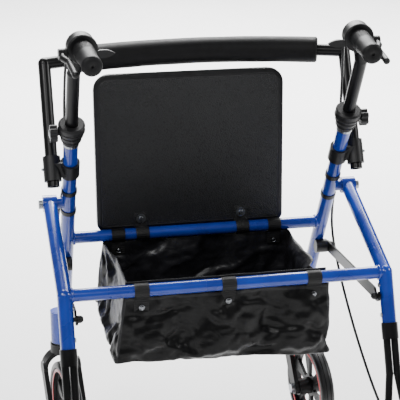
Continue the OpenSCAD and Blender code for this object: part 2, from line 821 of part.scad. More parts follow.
// A ring of a cable's skin at point i, square to the path
function ring(path, i, sides) =
  let (along = path[min(i + 1, len(path) - 1)] - path[max(i - 1, 0)],
       u = cross(along, [1, 0, 0]) / norm(cross(along, [1, 0, 0])),
       v = cross(along, u) / norm(along))
  [for (k = [0:sides - 1]) path[i] + cable_d / 2 * (cos(360 * k / sides) * u + sin(360 * k / sides) * v)];

// One closed tube swept along a route
module cable(route, steps) {
  sides = 8;
  path = smooth([for (p = route) p + [0, bar_y, 0]], steps);
  last = len(path) - 1;
  color(black) polyhedron(
    [for (i = [0:last]) each ring(path, i, sides)],
    [[for (k = [0:sides - 1]) k],
     for (i = [0:last - 1]) for (k = [0:sides - 1])
       [i * sides + k, (i + 1) * sides + k, (i + 1) * sides + (k + 1) % sides, i * sides + (k + 1) % sides],
     [for (k = [sides - 1:-1:0]) last * sides + k]]);
}

mirrored(-1) frame_tube();  // frame_tube_left
mirrored(1) frame_tube();  // frame_tube_right
front_crossbar();
tube_end_rings();
height_clamps();
fold_pivot_bolts();
strut_brackets();
backrest_sockets();
cable_clips();
mirrored(-1) cable(upper_route, 3);  // brake_cable_upper_left
mirrored(1) cable(upper_route, 3);  // brake_cable_upper_right
both_sides() cable(lower_route, 4);  // brake_cables_lower
bag();
bag_front_straps();
bag_front_snaps();
mirrored(-1) handle_post();  // handle_post_left
mirrored(1) handle_post();  // handle_post_right
mirrored(-1) hand_grip();  // hand_grip_left
mirrored(1) hand_grip();  // hand_grip_right
mirrored(-1) brake_housing();  // brake_housing_left
mirrored(1) brake_housing();  // brake_housing_right
mirrored(-1) brake_lever();  // brake_lever_left
mirrored(1) brake_lever();  // brake_lever_right
mirrored(-1) clamp_knob();  // clamp_knob_left
mirrored(1) clamp_knob();  // clamp_knob_right
backrest_tube();
backrest_foam();
mirrored(-1) snap_button();  // snap_button_left
mirrored(1) snap_button();  // snap_button_right
seat_board();
seat_pad();
seat_hinge_tabs();
seat_screws();
mirrored(-1) rear_leg();  // rear_leg_left
mirrored(1) rear_leg();  // rear_leg_right
rear_crossbar();
mirrored(-1) rear_fork();  // rear_fork_left
mirrored(1) rear_fork();  // rear_fork_right
catch_pins();
leg_bolts();
bag_rear_straps();
bag_rear_snaps();
rear_axles();
mirrored(-1) brake_arm();  // brake_arm_left
mirrored(1) brake_arm();  // brake_arm_right
lock_struts();
caster_fork(-1);  // caster_fork_left
caster_fork(1);  // caster_fork_right
caster_stem(-1);  // caster_stem_left
caster_stem(1);  // caster_stem_right
front_axle(-1);  // front_axle_left
front_axle(1);  // front_axle_right
front_wheel_at(-1) wheel(front_hub);  // front_wheel_left
front_wheel_at(1) wheel(front_hub);  // front_wheel_right
front_wheel_at(-1) tyre();  // front_tyre_left
front_wheel_at(1) tyre();  // front_tyre_right
rear_wheel_at(-1) wheel(rear_hub);  // rear_wheel_left
rear_wheel_at(1) wheel(rear_hub);  // rear_wheel_right
rear_wheel_at(-1) tyre();  // rear_tyre_left
rear_wheel_at(1) tyre();  // rear_tyre_right
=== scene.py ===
# %% [markdown]
# # A rollator walker
# A rollator is a walking frame on four wheels. This lesson dresses its finished metalwork: the frame
# comes in as exact parts, and what a factory would sew, mould, wind or dip is modelled over them.
# Each step says what the real piece is, how it could be made, and why it is made the way it is here.

# %% Load the frame
import json
import math
import bpy
from mathutils import Matrix, Vector, noise


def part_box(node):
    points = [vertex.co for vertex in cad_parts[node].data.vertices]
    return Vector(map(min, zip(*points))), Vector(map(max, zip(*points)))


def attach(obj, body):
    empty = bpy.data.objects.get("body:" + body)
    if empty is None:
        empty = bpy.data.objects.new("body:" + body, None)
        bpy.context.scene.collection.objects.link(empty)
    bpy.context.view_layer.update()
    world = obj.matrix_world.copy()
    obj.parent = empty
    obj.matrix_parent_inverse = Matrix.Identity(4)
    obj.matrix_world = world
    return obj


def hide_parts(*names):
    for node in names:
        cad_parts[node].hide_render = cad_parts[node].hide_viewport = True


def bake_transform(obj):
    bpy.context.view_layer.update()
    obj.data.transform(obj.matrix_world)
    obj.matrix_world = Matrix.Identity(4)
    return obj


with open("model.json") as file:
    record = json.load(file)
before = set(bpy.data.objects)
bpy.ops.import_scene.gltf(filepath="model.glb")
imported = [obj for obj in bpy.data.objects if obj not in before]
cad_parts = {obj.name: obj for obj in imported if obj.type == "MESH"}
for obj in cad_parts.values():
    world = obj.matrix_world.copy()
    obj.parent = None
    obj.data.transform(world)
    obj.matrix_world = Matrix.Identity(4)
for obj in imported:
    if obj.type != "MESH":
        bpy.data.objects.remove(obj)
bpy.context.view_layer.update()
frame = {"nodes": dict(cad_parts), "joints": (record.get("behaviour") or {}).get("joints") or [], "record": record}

# %% [markdown]
# ## Working habits
# An operator acts on everything that is selected, and the frame's parts come in selected. So each
# step starts with nothing selected, picks its faces or edges by their place, and ends by settling
# the object, which moves its place and turn into the mesh.

# %% Selecting and settling
MM = 0.001
BAR = (Vector(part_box("front_crossbar")[0]) + Vector(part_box("front_crossbar")[1])) / 2
REAR = (Vector(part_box("rear_crossbar")[0]) + Vector(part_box("rear_crossbar")[1])) / 2
print("front bar at", [round(c, 4) for c in BAR], "rear bar at", [round(c, 4) for c in REAR])


def only(obj):
    """Leaves this object as the one that is selected and active."""
    if bpy.context.object and bpy.context.object.mode != "OBJECT":
        bpy.ops.object.mode_set(mode="OBJECT")
    bpy.ops.object.select_all(action="DESELECT")
    obj.select_set(True)
    bpy.context.view_layer.objects.active = obj
    return obj


def fresh():
    """Leaves nothing selected, ready for a new primitive."""
    if bpy.context.object and bpy.context.object.mode != "OBJECT":
        bpy.ops.object.mode_set(mode="OBJECT")
    bpy.ops.object.select_all(action="DESELECT")


def pick(obj, kind, test):
    """Enters edit mode with just those vertices, edges or faces selected whose middle passes the test."""
    only(obj)
    bpy.ops.object.mode_set(mode="EDIT")
    bpy.ops.mesh.select_mode(type=kind)
    bpy.ops.mesh.select_all(action="DESELECT")
    bpy.ops.object.mode_set(mode="OBJECT")
    points = [v.co for v in obj.data.vertices]
    if kind == "VERT":
        for v in obj.data.vertices:
            v.select = bool(test(v.co))
    elif kind == "EDGE":
        for e in obj.data.edges:
            e.select = bool(test((points[e.vertices[0]] + points[e.vertices[1]]) / 2,
                                 points[e.vertices[1]] - points[e.vertices[0]]))
    else:
        for p in obj.data.polygons:
            p.select = bool(test(p.center, p.normal))
    bpy.ops.object.mode_set(mode="EDIT")


def settle(obj, smooth=40):
    """Puts the object's place and turn into its mesh, and shades it smooth up to an angle in degrees."""
    only(obj)
    bpy.ops.object.transform_apply(location=True, rotation=True, scale=True)
    bpy.ops.object.shade_smooth_by_angle(angle=math.radians(smooth), keep_sharp_edges=True)
    return obj


def modify(obj, kind, **settings):
    """Adds a modifier with these settings and applies it."""
    only(obj)
    m = obj.modifiers.new(kind.title(), kind)
    for key, value in settings.items():
        setattr(m, key, value)
    bpy.ops.object.modifier_apply(modifier=m.name)


def join(parts, name):
    """Makes one object of several."""
    only(parts[0])
    for p in parts[1:]:
        p.select_set(True)
    if len(parts) > 1:
        bpy.ops.object.join()
    parts[0].name = parts[0].data.name = name
    return parts[0]


# %% [markdown]
# ## Camera, light and floor
# The camera stands behind the walker, left of the middle and at head height, and looks down past the
# left handle into the bag. A long lens keeps the tubes nearly parallel. Black cloth and black plastic
# only show their shape by their highlights, so four wide soft lights stand round the walker.

# %% Camera
view = bpy.data.cameras.new("view")
view.sensor_width, view.lens, view.clip_end = 36, 120.2, 50
LOOK = Vector((0.1878, 0.9293, -0.3180))
camera = bpy.data.objects.new("camera", view)
bpy.context.scene.collection.objects.link(camera)
camera.location = (-0.465, -2.1601, 1.3471)
camera.rotation_euler = LOOK.to_track_quat("-Z", "Y").to_euler()
bpy.context.scene.camera = camera
print("camera looks down by", round(math.degrees(math.asin(-LOOK.z)), 1), "degrees")


# %% Soft lights and a white room
def soft_light(name, place, width, power, target=(0, 0.05, 0.6)):
    """A square softbox that faces the walker."""
    data = bpy.data.lights.new(name, "AREA")
    data.size, data.energy = width, power
    lamp = bpy.data.objects.new(name, data)
    bpy.context.scene.collection.objects.link(lamp)
    lamp.location = place
    lamp.rotation_euler = (Vector(target) - Vector(place)).to_track_quat("-Z", "Y").to_euler()


soft_light("key_light", (-1.7, -1.3, 2.6), 0.9, 42)
soft_light("right_light", (2.3, -0.6, 1.9), 0.8, 30)
soft_light("front_light", (-0.5, -2.6, 2.7), 0.9, 18, (0, 0, 0.5))
soft_light("back_light", (0.4, 2.0, 2.4), 1.2, 40)
# The sweep behind the walker has a light of its own, so that it stays white while black cloth stays black.
soft_light("sweep_light", (0.8, 3.5, 3.2), 3.6, 760, (0.8, 3.7, 0))
room = bpy.data.worlds.new("white_room")
room.use_nodes = True
room.node_tree.nodes["Background"].inputs["Color"].default_value = (1, 1, 1, 1)
room.node_tree.nodes["Background"].inputs["Strength"].default_value = 0.22
bpy.context.scene.world = room
fresh()
bpy.ops.mesh.primitive_plane_add(size=16, location=(0, 0, -0.0005))
floor = bpy.context.object
floor.name = "floor"

# %% [markdown]
# ## Finishes
# A finish starts from what the real material is and how its surface was made. Colours are given as
# the hex values a colour picker shows, so one function turns them to the linear values that light
# is reckoned in. A second function adds one node. Each pattern's scale comes from a real size in
# millimetres: a noise with scale 1000 / s has lumps about s millimetres wide.


# %% Colours and nodes
def linear(hex_colour):
    """The linear colour of an sRGB hex value."""
    parts = [int(hex_colour[i:i + 2], 16) / 255 for i in (1, 3, 5)]
    return [c / 12.92 if c <= 0.04045 else ((c + 0.055) / 1.055) ** 2.4 for c in parts] + [1.0]


def add(material, kind, values, links=()):
    """Adds a shader node, sets its properties or sockets, and links sockets from other nodes."""
    new = material.node_tree.nodes.new("ShaderNode" + kind)
    for key, value in values.items():
        if isinstance(key, str) and hasattr(new, key):
            setattr(new, key, value)
        else:
            new.inputs[key].default_value = value
    for socket, source in links:
        material.node_tree.links.new(source, new.inputs[socket])
    return new


def start(name, hex_colour, roughness, **shader):
    """A new material with its own shader, and a coordinate node whose unit is a metre."""
    material = bpy.data.materials.new(name)
    material.use_nodes = True
    surface = material.node_tree.nodes["Principled BSDF"]
    surface.inputs["Base Color"].default_value = linear(hex_colour)
    surface.inputs["Roughness"].default_value = roughness
    for key, value in shader.items():
        surface.inputs[key.replace("_", " ").title().replace("Ior", "IOR")].default_value = value
    return material, surface, add(material, "TexCoord", {})


def mottle(material, surface, coords, low_hex, high_hex, size_mm, rough=None):
    """Colour, and roughness if a pair is given, that drifts over lumps of that size."""
    patch = add(material, "TexNoise", {"Scale": 1000 / size_mm, "Detail": 3.0},
                [("Vector", coords.outputs["Object"])])
    ramp = add(material, "ValToRGB", {}, [("Fac", patch.outputs["Fac"])])
    ramp.color_ramp.elements[0].position, ramp.color_ramp.elements[1].position = 0.35, 0.68
    ramp.color_ramp.elements[0].color, ramp.color_ramp.elements[1].color = linear(low_hex), linear(high_hex)
    material.node_tree.links.new(ramp.outputs["Color"], surface.inputs["Base Color"])
    if rough:
        span = add(material, "MapRange", {"To Min": rough[0], "To Max": rough[1]},
                   [("Value", patch.outputs["Fac"])])
        material.node_tree.links.new(span.outputs["Result"], surface.inputs["Roughness"])
    return ramp


def relief(material, surface, height, depth_mm, strength=1.0):
    """Bump from a height between 0 and 1, with its depth in millimetres."""
    bump = add(material, "Bump", {"Strength": strength, "Distance": depth_mm * MM}, [("Height", height)])
    material.node_tree.links.new(bump.outputs["Normal"], surface.inputs["Normal"])
    return bump


# %% Powder coats
# Polyester powder, sprayed dry and baked: a hard gloss film with a faint orange peel about 3 mm wide.
blue_coat, s, c = start("polyester_powder_coat_blue", "#07349E", 0.28, coat_weight=0.6, coat_roughness=0.08)
mottle(blue_coat, s, c, "#052C8C", "#0A3BAA", 60, (0.22, 0.34))
peel = add(blue_coat, "TexNoise", {"Scale": 330, "Detail": 1.0}, [("Vector", c.outputs["Object"])])
relief(blue_coat, s, peel.outputs["Fac"], 0.05, 0.5)
black_coat, s, c = start("polyester_powder_coat_black", "#060607", 0.34, specular_ior_level=0.22,
                         coat_weight=0.1, coat_roughness=0.2)
mottle(black_coat, s, c, "#060607", "#0D0D0F", 50, (0.26, 0.4))
peel = add(black_coat, "TexNoise", {"Scale": 330, "Detail": 1.0}, [("Vector", c.outputs["Object"])])
relief(black_coat, s, peel.outputs["Fac"], 0.05, 0.5)
print("powder coats:", blue_coat.name, black_coat.name)

# %% Moulded plastics and rubbers
# Glass-filled nylon from a spark-eroded mould: a satin grain of about 0.7 mm, drawn at 1.2 mm to show.
nylon_moulding, s, c = start("moulded_nylon_6_black", "#09090A", 0.46, specular_ior_level=0.4)
mottle(nylon_moulding, s, c, "#070708", "#101012", 30, (0.38, 0.54))
grain = add(nylon_moulding, "TexNoise", {"Scale": 830, "Detail": 2.0}, [("Vector", c.outputs["Object"])])
relief(nylon_moulding, s, grain.outputs["Fac"], 0.08, 0.5)
# Thermoplastic rubber of the grips: softer, with broad handling wear that makes it a little shinier.
grip_rubber, s, c = start("moulded_tpr_grip_black", "#080809", 0.5, specular_ior_level=0.26)
mottle(grip_rubber, s, c, "#080809", "#141416", 22, (0.42, 0.62))
grain = add(grip_rubber, "TexNoise", {"Scale": 700, "Detail": 2.0}, [("Vector", c.outputs["Object"])])
relief(grip_rubber, s, grain.outputs["Fac"], 0.07, 0.5)
# Closed-cell nitrile foam with a ground skin: matt, with cells about 1 mm wide.
foam_skin, s, c = start("nitrile_foam_black", "#060607", 0.55, specular_ior_level=0.22)
mottle(foam_skin, s, c, "#060607", "#0E0E10", 12, (0.5, 0.7))
cells = add(foam_skin, "TexNoise", {"Scale": 900, "Detail": 4.0}, [("Vector", c.outputs["Object"])])
relief(foam_skin, s, cells.outputs["Fac"], 0.18, 0.7)
# Solid PVC tyres: smoother and glossier than rubber.
tyre_pvc, s, c = start("solid_pvc_tyre_black", "#08080A", 0.34)
mottle(tyre_pvc, s, c, "#070708", "#121214", 18, (0.28, 0.5))
scuff = add(tyre_pvc, "TexNoise", {"Scale": 600, "Detail": 3.0}, [("Vector", c.outputs["Object"])])
relief(tyre_pvc, s, scuff.outputs["Fac"], 0.08, 0.6)
# The red ring is ABS, pressed into the wheel: plain gloss, with slight flow marks.
red_ring, s, c = start("moulded_abs_red", "#B3131C", 0.28)
mottle(red_ring, s, c, "#A50F18", "#C01A23", 25, (0.22, 0.36))
# Extruded PVC sheath of the brake cables.
sheath, s, c = start("extruded_pvc_sheath_black", "#0F1012", 0.26)
mottle(sheath, s, c, "#0D0E0F", "#17181A", 30, (0.2, 0.34))
print("plastics and rubbers:", len(bpy.data.materials))

# %% Metals
# Bright zinc plate: steel under a thin plated film, brushed a little by handling.
zinc, s, c = start("bright_zinc_plate", "#A3A7AC", 0.28, metallic=1.0)
mottle(zinc, s, c, "#94989D", "#B4B8BC", 9, (0.2, 0.4))
# Black nickel on the brass press studs: dark, with a tight bright highlight.
black_nickel, s, c = start("black_nickel_plate", "#84868A", 0.14, metallic=1.0)
mottle(black_nickel, s, c, "#6E7074", "#989A9E", 6, (0.1, 0.2))

# %% [markdown]
# The seat's cover is calendered vinyl with a pressed leather grain. Voronoi cells give the pebbles of
# such a grain: the distance to a cell's edge is high in the middle of a pebble and low in the crease
# between two. A slow noise pushes the cells about so that no rows show, and the creases are duller.
# The creases are also painted darker, as painted shade in the hollows of the grain.

# %% Grained vinyl
vinyl, s, c = start("calendered_vinyl_leather_grain", "#0A0A0C", 0.4, specular_ior_level=0.5)
drift = add(vinyl, "TexNoise", {"Scale": 90, "Detail": 2.0}, [("Vector", c.outputs["Object"])])
push = add(vinyl, "VectorMath", {"operation": "SCALE", "Scale": 0.004},
           [(0, drift.outputs["Color"])])
moved = add(vinyl, "VectorMath", {"operation": "ADD"},
            [(0, c.outputs["Object"]), (1, push.outputs["Vector"])])
pebbles = add(vinyl, "TexVoronoi", {"feature": "DISTANCE_TO_EDGE", "Scale": 260},
              [("Vector", moved.outputs["Vector"])])
crease = add(vinyl, "ValToRGB", {}, [("Fac", pebbles.outputs["Distance"])])
crease.color_ramp.elements[0].color, crease.color_ramp.elements[1].color = (0, 0, 0, 1), (1, 1, 1, 1)
crease.color_ramp.elements[1].position = 0.16
# The creases are painted darker than the pebbles: painted shade in the hollows of the grain.
crease_shade_tone = add(vinyl, "Mix", {"data_type": "RGBA", 6: linear("#050506"), 7: linear("#121315")},
           [(0, crease.outputs["Color"])])
vinyl.node_tree.links.new(crease_shade_tone.outputs[2], s.inputs["Base Color"])
dull = add(vinyl, "MapRange", {"To Min": 0.62, "To Max": 0.38}, [("Value", crease.outputs["Color"])])
vinyl.node_tree.links.new(dull.outputs["Result"], s.inputs["Roughness"])
relief(vinyl, s, crease.outputs["Color"], 0.45, 0.9)
# The pressed border of the same vinyl is nearly smooth.
border_vinyl, s, c = start("calendered_vinyl_pressed_border", "#08080A", 0.34)
mottle(border_vinyl, s, c, "#060608", "#0E0E11", 14, (0.3, 0.46))

# %% [markdown]
# The bag is sewn from polyurethane-coated nylon taffeta. Its threads lie 0.4 mm apart, far too fine
# to show, so the weave is drawn at about 3 mm. The coating gives the bright, streaky highlights
# along every fold, and shallow creases about 26 mm wide stay in it from packing.

# %% Coated nylon, webbing and binding
taffeta, s, c = start("coated_nylon_taffeta_black", "#040405", 0.32, specular_ior_level=0.24)
mottle(taffeta, s, c, "#040405", "#09090A", 40, (0.26, 0.42))
threads = add(taffeta, "TexWave", {"Scale": 98.0, "bands_direction": "X", "Distortion": 0.6},
              [("Vector", c.outputs["Object"])])
weft = add(taffeta, "TexWave", {"Scale": 98.0, "bands_direction": "Z", "Distortion": 0.6},
           [("Vector", c.outputs["Object"])])
cross = add(taffeta, "Math", {"operation": "MULTIPLY"},
            [(0, threads.outputs["Fac"]), (1, weft.outputs["Fac"])])
fine = relief(taffeta, s, cross.outputs["Value"], 0.05, 0.4)
stretch = add(taffeta, "Mapping", {"Scale": (1.0, 1.0, 0.8)}, [("Vector", c.outputs["Object"])])
crumple = add(taffeta, "TexNoise", {"Scale": 38, "Detail": 3.0, "Distortion": 1.6},
              [("Vector", stretch.outputs["Vector"])])
creased = add(taffeta, "Bump", {"Strength": 0.25, "Distance": 0.004},
              [("Height", crumple.outputs["Fac"]), ("Normal", fine.outputs["Normal"])])
taffeta.node_tree.links.new(creased.outputs["Normal"], s.inputs["Normal"])
# Inside the bag the polyurethane side of the cloth shows: smoother, a little greyer and a little shinier.
# Its colour is painted lighter still, as painted light for the inside of the bag, which the lamps barely reach.
lightened_inner_cloth, s, c = start("coated_nylon_taffeta_inside", "#16161A", 0.34, specular_ior_level=0.5)
mottle(lightened_inner_cloth, s, c, "#121215", "#1E1E22", 30, (0.28, 0.46))
crumple = add(lightened_inner_cloth, "TexNoise", {"Scale": 30, "Detail": 3.0, "Distortion": 1.4},
              [("Vector", c.outputs["Object"])])
relief(lightened_inner_cloth, s, crumple.outputs["Fac"], 0.5, 4.0)
# Polypropylene webbing: ribs across the strap, drawn 4 mm apart.
webbing, s, c = start("woven_polypropylene_webbing", "#08080A", 0.55, specular_ior_level=0.4)
mottle(webbing, s, c, "#060607", "#0F0F11", 6, (0.5, 0.7))
ribs = add(webbing, "TexWave", {"Scale": 80.0, "bands_direction": "Z", "Distortion": 0.4},
           [("Vector", c.outputs["Object"])])
relief(webbing, s, ribs.outputs["Fac"], 0.3, 0.7)
# Grosgrain binding tape over the bag's cut edges, a touch lighter than the cloth.
binding, s, c = start("grosgrain_binding_tape", "#0E0E11", 0.46, specular_ior_level=0.45)
mottle(binding, s, c, "#0A0A0C", "#17171A", 5, (0.42, 0.6))
cords = add(binding, "TexWave", {"Scale": 110.0, "bands_direction": "DIAGONAL", "Distortion": 0.3},
            [("Vector", c.outputs["Object"])])
relief(binding, s, cords.outputs["Fac"], 0.25, 0.7)
# The floor is a white paper sweep, as in a catalogue studio.
paving, s, c = start("white_paper_sweep", "#FAFAFA", 0.8)
mottle(paving, s, c, "#F7F7F7", "#FDFDFD", 900)
floor.data.materials.append(paving)
print("materials:", len(bpy.data.materials))

# %% [markdown]
# ## Dressing the metalwork
# Every part of the frame already has a slot in the record that says what it is made of. The slot
# picks the finish, so that no part is forgotten.

# %% Finishes by slot
FINISH = {"blue_paint": blue_coat, "black_paint": black_coat, "black_plastic": nylon_moulding,
          "soft_grip": grip_rubber, "cable_sheath": sheath, "vinyl": vinyl, "nylon": webbing,
          "steel": zinc, "tyre": tyre_pvc}
slot_of = {sub["node"]: sub["material_slot"] for sub in frame["record"]["subparts"]}
for name, part in frame["nodes"].items():
    part.data.materials.clear()
    part.data.materials.append(FINISH[slot_of[name]])
print("dressed", len(slot_of), "parts")


# %% [markdown]
# ## Turned pieces
# Grips, caps, press studs, rings and tyres are all round. The quickest true way to make them is the
# one a lathe or a round mould uses: draw half of the outline, and spin it round the axis. The
# outline is a list of (radius, height) pairs in millimetres. After the spin, the seam is merged and
# the normals are made to point outwards.

# %% The lathe
def lathe(name, outline, finish, steps=48, middle=(0, 0, 0), along=(0, 0, 1), shape=None):
    """Spins an outline of (radius, height) in mm about Z, then turns +Z to "along" at "middle"."""
    mesh = bpy.data.meshes.new(name)
    mesh.from_pydata([(r * MM, 0, h * MM) for r, h in outline],
                     [(i, i + 1) for i in range(len(outline) - 1)], [])
    obj = bpy.data.objects.new(name, mesh)
    bpy.context.scene.collection.objects.link(obj)
    only(obj)
    bpy.ops.object.mode_set(mode="EDIT")
    bpy.ops.mesh.select_all(action="SELECT")
    bpy.ops.mesh.spin(steps=steps, angle=2 * math.pi, center=(0, 0, 0), axis=(0, 0, 1))
    bpy.ops.mesh.select_all(action="SELECT")
    bpy.ops.mesh.remove_doubles(threshold=0.00002)
    bpy.ops.mesh.dissolve_degenerate(threshold=0.000001)
    bpy.ops.mesh.normals_make_consistent(inside=False)
    bpy.ops.object.mode_set(mode="OBJECT")
    if shape:
        shape(obj)
    obj.matrix_world = Matrix.Translation(middle) @ Vector(along).to_track_quat("Z", "Y").to_matrix().to_4x4()
    mesh.materials.append(finish)
    return settle(obj)


def fit(obj, body, slot, *nodes):
    """Hangs a piece on its body, and lets it stand for the parts it replaces. The slot is not used."""
    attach(obj, body)
    if nodes:
        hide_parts(*nodes)
    return obj


# %% [markdown]
# ## Hand grips
# The real grip is a moulded rubber sleeve. It has a domed end with a small moulding hole, a smooth
# palm part, and a row of ribs where the finger and thumb close, near the brake. The ribs are part of
# the outline, so the spin makes them for nothing.

# %% Grips
TOE, DIP, SIDES = math.radians(3.1), math.radians(5.8), (("left", -1), ("right", 1))


def grip_frame(side, y_mm):
    """A point on the grip's axis, y mm in front of its rear end, and the direction of the axis."""
    low, high = (Vector(corner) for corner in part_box("hand_grip_" + side))
    sign = -1 if side == "left" else 1
    ahead = Vector((sign * math.sin(TOE) * math.cos(DIP), math.cos(TOE) * math.cos(DIP), math.sin(DIP)))
    return (low + high) / 2 + ahead * (y_mm - 43.5) * MM, ahead


grip_outline = [(2.4, 5.0), (2.4, 0.6), (3.2, 0.0), (12.0, 0.2), (15.0, 1.4), (16.8, 4.2), (17.0, 8.0),
                (16.7, 12.0), (16.0, 22.0), (15.9, 34.0), (16.3, 46.0), (16.6, 52.0)]
for i in range(6):
    grip_outline += [(16.8, 54.0 + 5 * i), (17.3, 55.0 + 5 * i), (17.3, 57.0 + 5 * i), (16.0, 58.2 + 5 * i)]
grip_outline += [(17.0, 84.4), (17.0, 86.6), (11.3, 86.9)]
for side, _ in SIDES:
    place, ahead = grip_frame(side, 0)
    grip = lathe("grip_sleeve_" + side, grip_outline, grip_rubber, 56, place, ahead)
    fit(grip, "handle_" + side, "soft_grip", "hand_grip_" + side)
print("grips:", len(grip.data.polygons), "faces each")

# %% [markdown]
# ## Brake hoods
# A moulded hood covers the lever's pivot. The frame has its plain body, so only what makes it look
# moulded is added: a rolled flange at the rear, and the cable's ribbed adjuster screwed in in front.

# %% Hoods and cable adjusters
flange = [(17.6, 0.0), (23.4, -0.3), (24.8, 1.2), (25.3, 3.4), (24.9, 5.6), (24.2, 6.6), (24.0, 6.6),
          (24.0, 2.0), (18.0, 1.8), (17.6, 0.0)]
cap = [(0.0, 5.6), (6.0, 5.2), (10.5, 3.8), (13.6, 1.2), (14.0, 0.0), (13.0, 0.0), (0.0, 0.2)]
barrel = [(0.0, 0.0), (4.4, 0.0)]
for i in range(5):
    barrel += [(4.4, 0.6 + 2 * i), (4.9, 1.0 + 2 * i), (4.9, 1.6 + 2 * i), (4.3, 2.0 + 2 * i)]
barrel += [(3.4, 12.0), (2.9, 13.0), (0.0, 13.0)]
for side, _ in SIDES:
    for name, outline, steps, y_mm in (("hood_flange_", flange, 56, 87.5), ("hood_nose_", cap, 40, 125.4)):
        place, ahead = grip_frame(side, y_mm)
        made = lathe(name + side, outline, nylon_moulding, steps, place, ahead)
        fit(made, "handle_" + side, "black_plastic")
    screw = lathe("cable_adjuster_" + side, barrel, zinc, 24, place + ahead * -0.006 + Vector((0, 0, 0.006)),
                  Vector((0, 1, 0.3)))
    fit(screw, "handle_" + side, "steel")
print("hood flange:", len(flange), "points")

# %% [markdown]
# ## Clamps, knobs and small fittings
# The clamp under each handle is a cone with two raised bands, which catch the light as two thin
# lines. Its knob gets a pressed metal cap. Both are turned outlines again.

# %% Clamp bands and knob caps
TUBE_LEAN, TUBE_X, TUBE_TOP = math.radians(29.5), 0.245, 0.712
MAIN_UP = Vector((0, -math.sin(TUBE_LEAN), math.cos(TUBE_LEAN)))
for side, sign in SIDES:
    top = Vector((sign * TUBE_X, BAR.y - (TUBE_TOP - BAR.z) * math.tan(TUBE_LEAN), TUBE_TOP))
    bands = []
    for height, radius in ((8, 16.9), (20, 20.0), (30, 22.6)):
        bands.append(lathe("band", [(radius - 1.2, -1.6), (radius + 0.7, -1.1), (radius + 1.1, 0.0),
                                    (radius + 0.9, 1.2), (radius - 0.8, 1.8)], nylon_moulding, 56,
                           top + MAIN_UP * height * MM, MAIN_UP))
    fit(join(bands, "clamp_bands_" + side), "front_frame", "black_plastic")
    knob_low, knob_high = (Vector(corner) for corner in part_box("clamp_knob_" + side))
    middle = (knob_low + knob_high) / 2
    middle.x = knob_high.x if sign > 0 else knob_low.x
    disc = lathe("knob_cap_" + side, [(0.0, 1.6), (4.0, 1.5), (6.4, 1.0), (7.4, 0.2), (7.4, 0.0), (0.0, 0.0)],
                 zinc, 32, middle, (sign, 0, 0))
    fit(disc, "clamp_knob_" + side, "steel")
print("clamp bands at height", round(top.z, 3))

# %% [markdown]
# ## Welds
# Where a crossbar meets a tube there is a fillet weld: a bead of small overlapping ripples, painted
# over with the tube. A torus round the bar is the start, and pushing every other ring of it outwards
# makes the ripples.


# %% Weld beads
BAR_R, RIPPLES = 11.0, 56


def weld(x, bar):
    """A rippled bead round a bar that lies along X."""
    fresh()
    bpy.ops.mesh.primitive_torus_add(major_segments=RIPPLES, minor_segments=10,
                                     major_radius=(BAR_R + 0.5) * MM, minor_radius=2.1 * MM,
                                     location=(0, 0, 0))
    bead = bpy.context.object
    ring = 2 * math.pi / RIPPLES
    pick(bead, "VERT", lambda p: round(math.atan2(p.y, p.x) / ring) % 2
         and math.hypot(p.x, p.y) > (BAR_R + 0.8) * MM)
    bpy.ops.transform.shrink_fatten(value=0.0005)
    bpy.ops.object.mode_set(mode="OBJECT")
    modify(bead, "SUBSURF", levels=1, render_levels=1)
    bead.matrix_world = Matrix.Translation((x, bar.y, bar.z)) @ Matrix.Rotation(math.pi / 2, 4, "Y")
    bead.data.materials.append(blue_coat)
    return settle(bead)


for bar, end_x, name in ((BAR, 0.2325, "front"), (REAR, 0.2665, "rear")):
    beads = [weld(sign * end_x, bar) for sign in (-1, 1)]
    fit(join(beads, name + "_bar_welds"), name + "_frame", "blue_paint")

# %% [markdown]
# ## Foam on the back bar
# The back bar wears a sleeve of nitrile foam, pushed on while it was wet with soap. It follows the
# bar's bend, its outer skin is smooth, and its sawn ends show a wall round the tube. A circle spun
# through the bend's angle gives the sleeve, and the two end faces are inset and pushed in.

# %% The foam sleeve
BOW_HALF, BOW_RISE, BOW_Z, FOAM_HALF, FOAM_R = 0.257, 0.05, 0.824, 0.228, 0.0238
bow_r = (BOW_HALF ** 2 + BOW_RISE ** 2) / (2 * BOW_RISE)
half = math.asin(FOAM_HALF / bow_r)
bow_middle = Vector((0, BAR.y + BOW_RISE - bow_r, BOW_Z))
fresh()
bpy.ops.mesh.primitive_circle_add(vertices=40, radius=FOAM_R, location=(0, 0, 0),
                                  rotation=(0, math.pi / 2, 0))
foam = bpy.context.object
foam.name = foam.data.name = "foam_sleeve"
foam.location = bow_middle + Vector((0, bow_r, 0))
settle(foam)
only(foam)
bpy.ops.object.mode_set(mode="EDIT")
bpy.ops.mesh.select_all(action="SELECT")
bpy.ops.transform.rotate(value=half, orient_axis="Z", center_override=bow_middle)
bpy.ops.object.mode_set(mode="OBJECT")
turn = -1 if foam.data.vertices[0].co.x > 0 else 1
bpy.ops.object.mode_set(mode="EDIT")
bpy.ops.mesh.spin(steps=80, angle=turn * 2 * half, center=bow_middle, axis=(0, 0, 1))
bpy.ops.object.mode_set(mode="OBJECT")
span = max(v.co.x for v in foam.data.vertices) - min(v.co.x for v in foam.data.vertices)
print("foam spans", round(span, 3), "m")


def foam_end(p, sign):
    """True for a point on one sawn end of the sleeve."""
    angle = math.atan2(p.x, p.y - bow_middle.y)
    return abs(angle - sign * half) < 0.0008


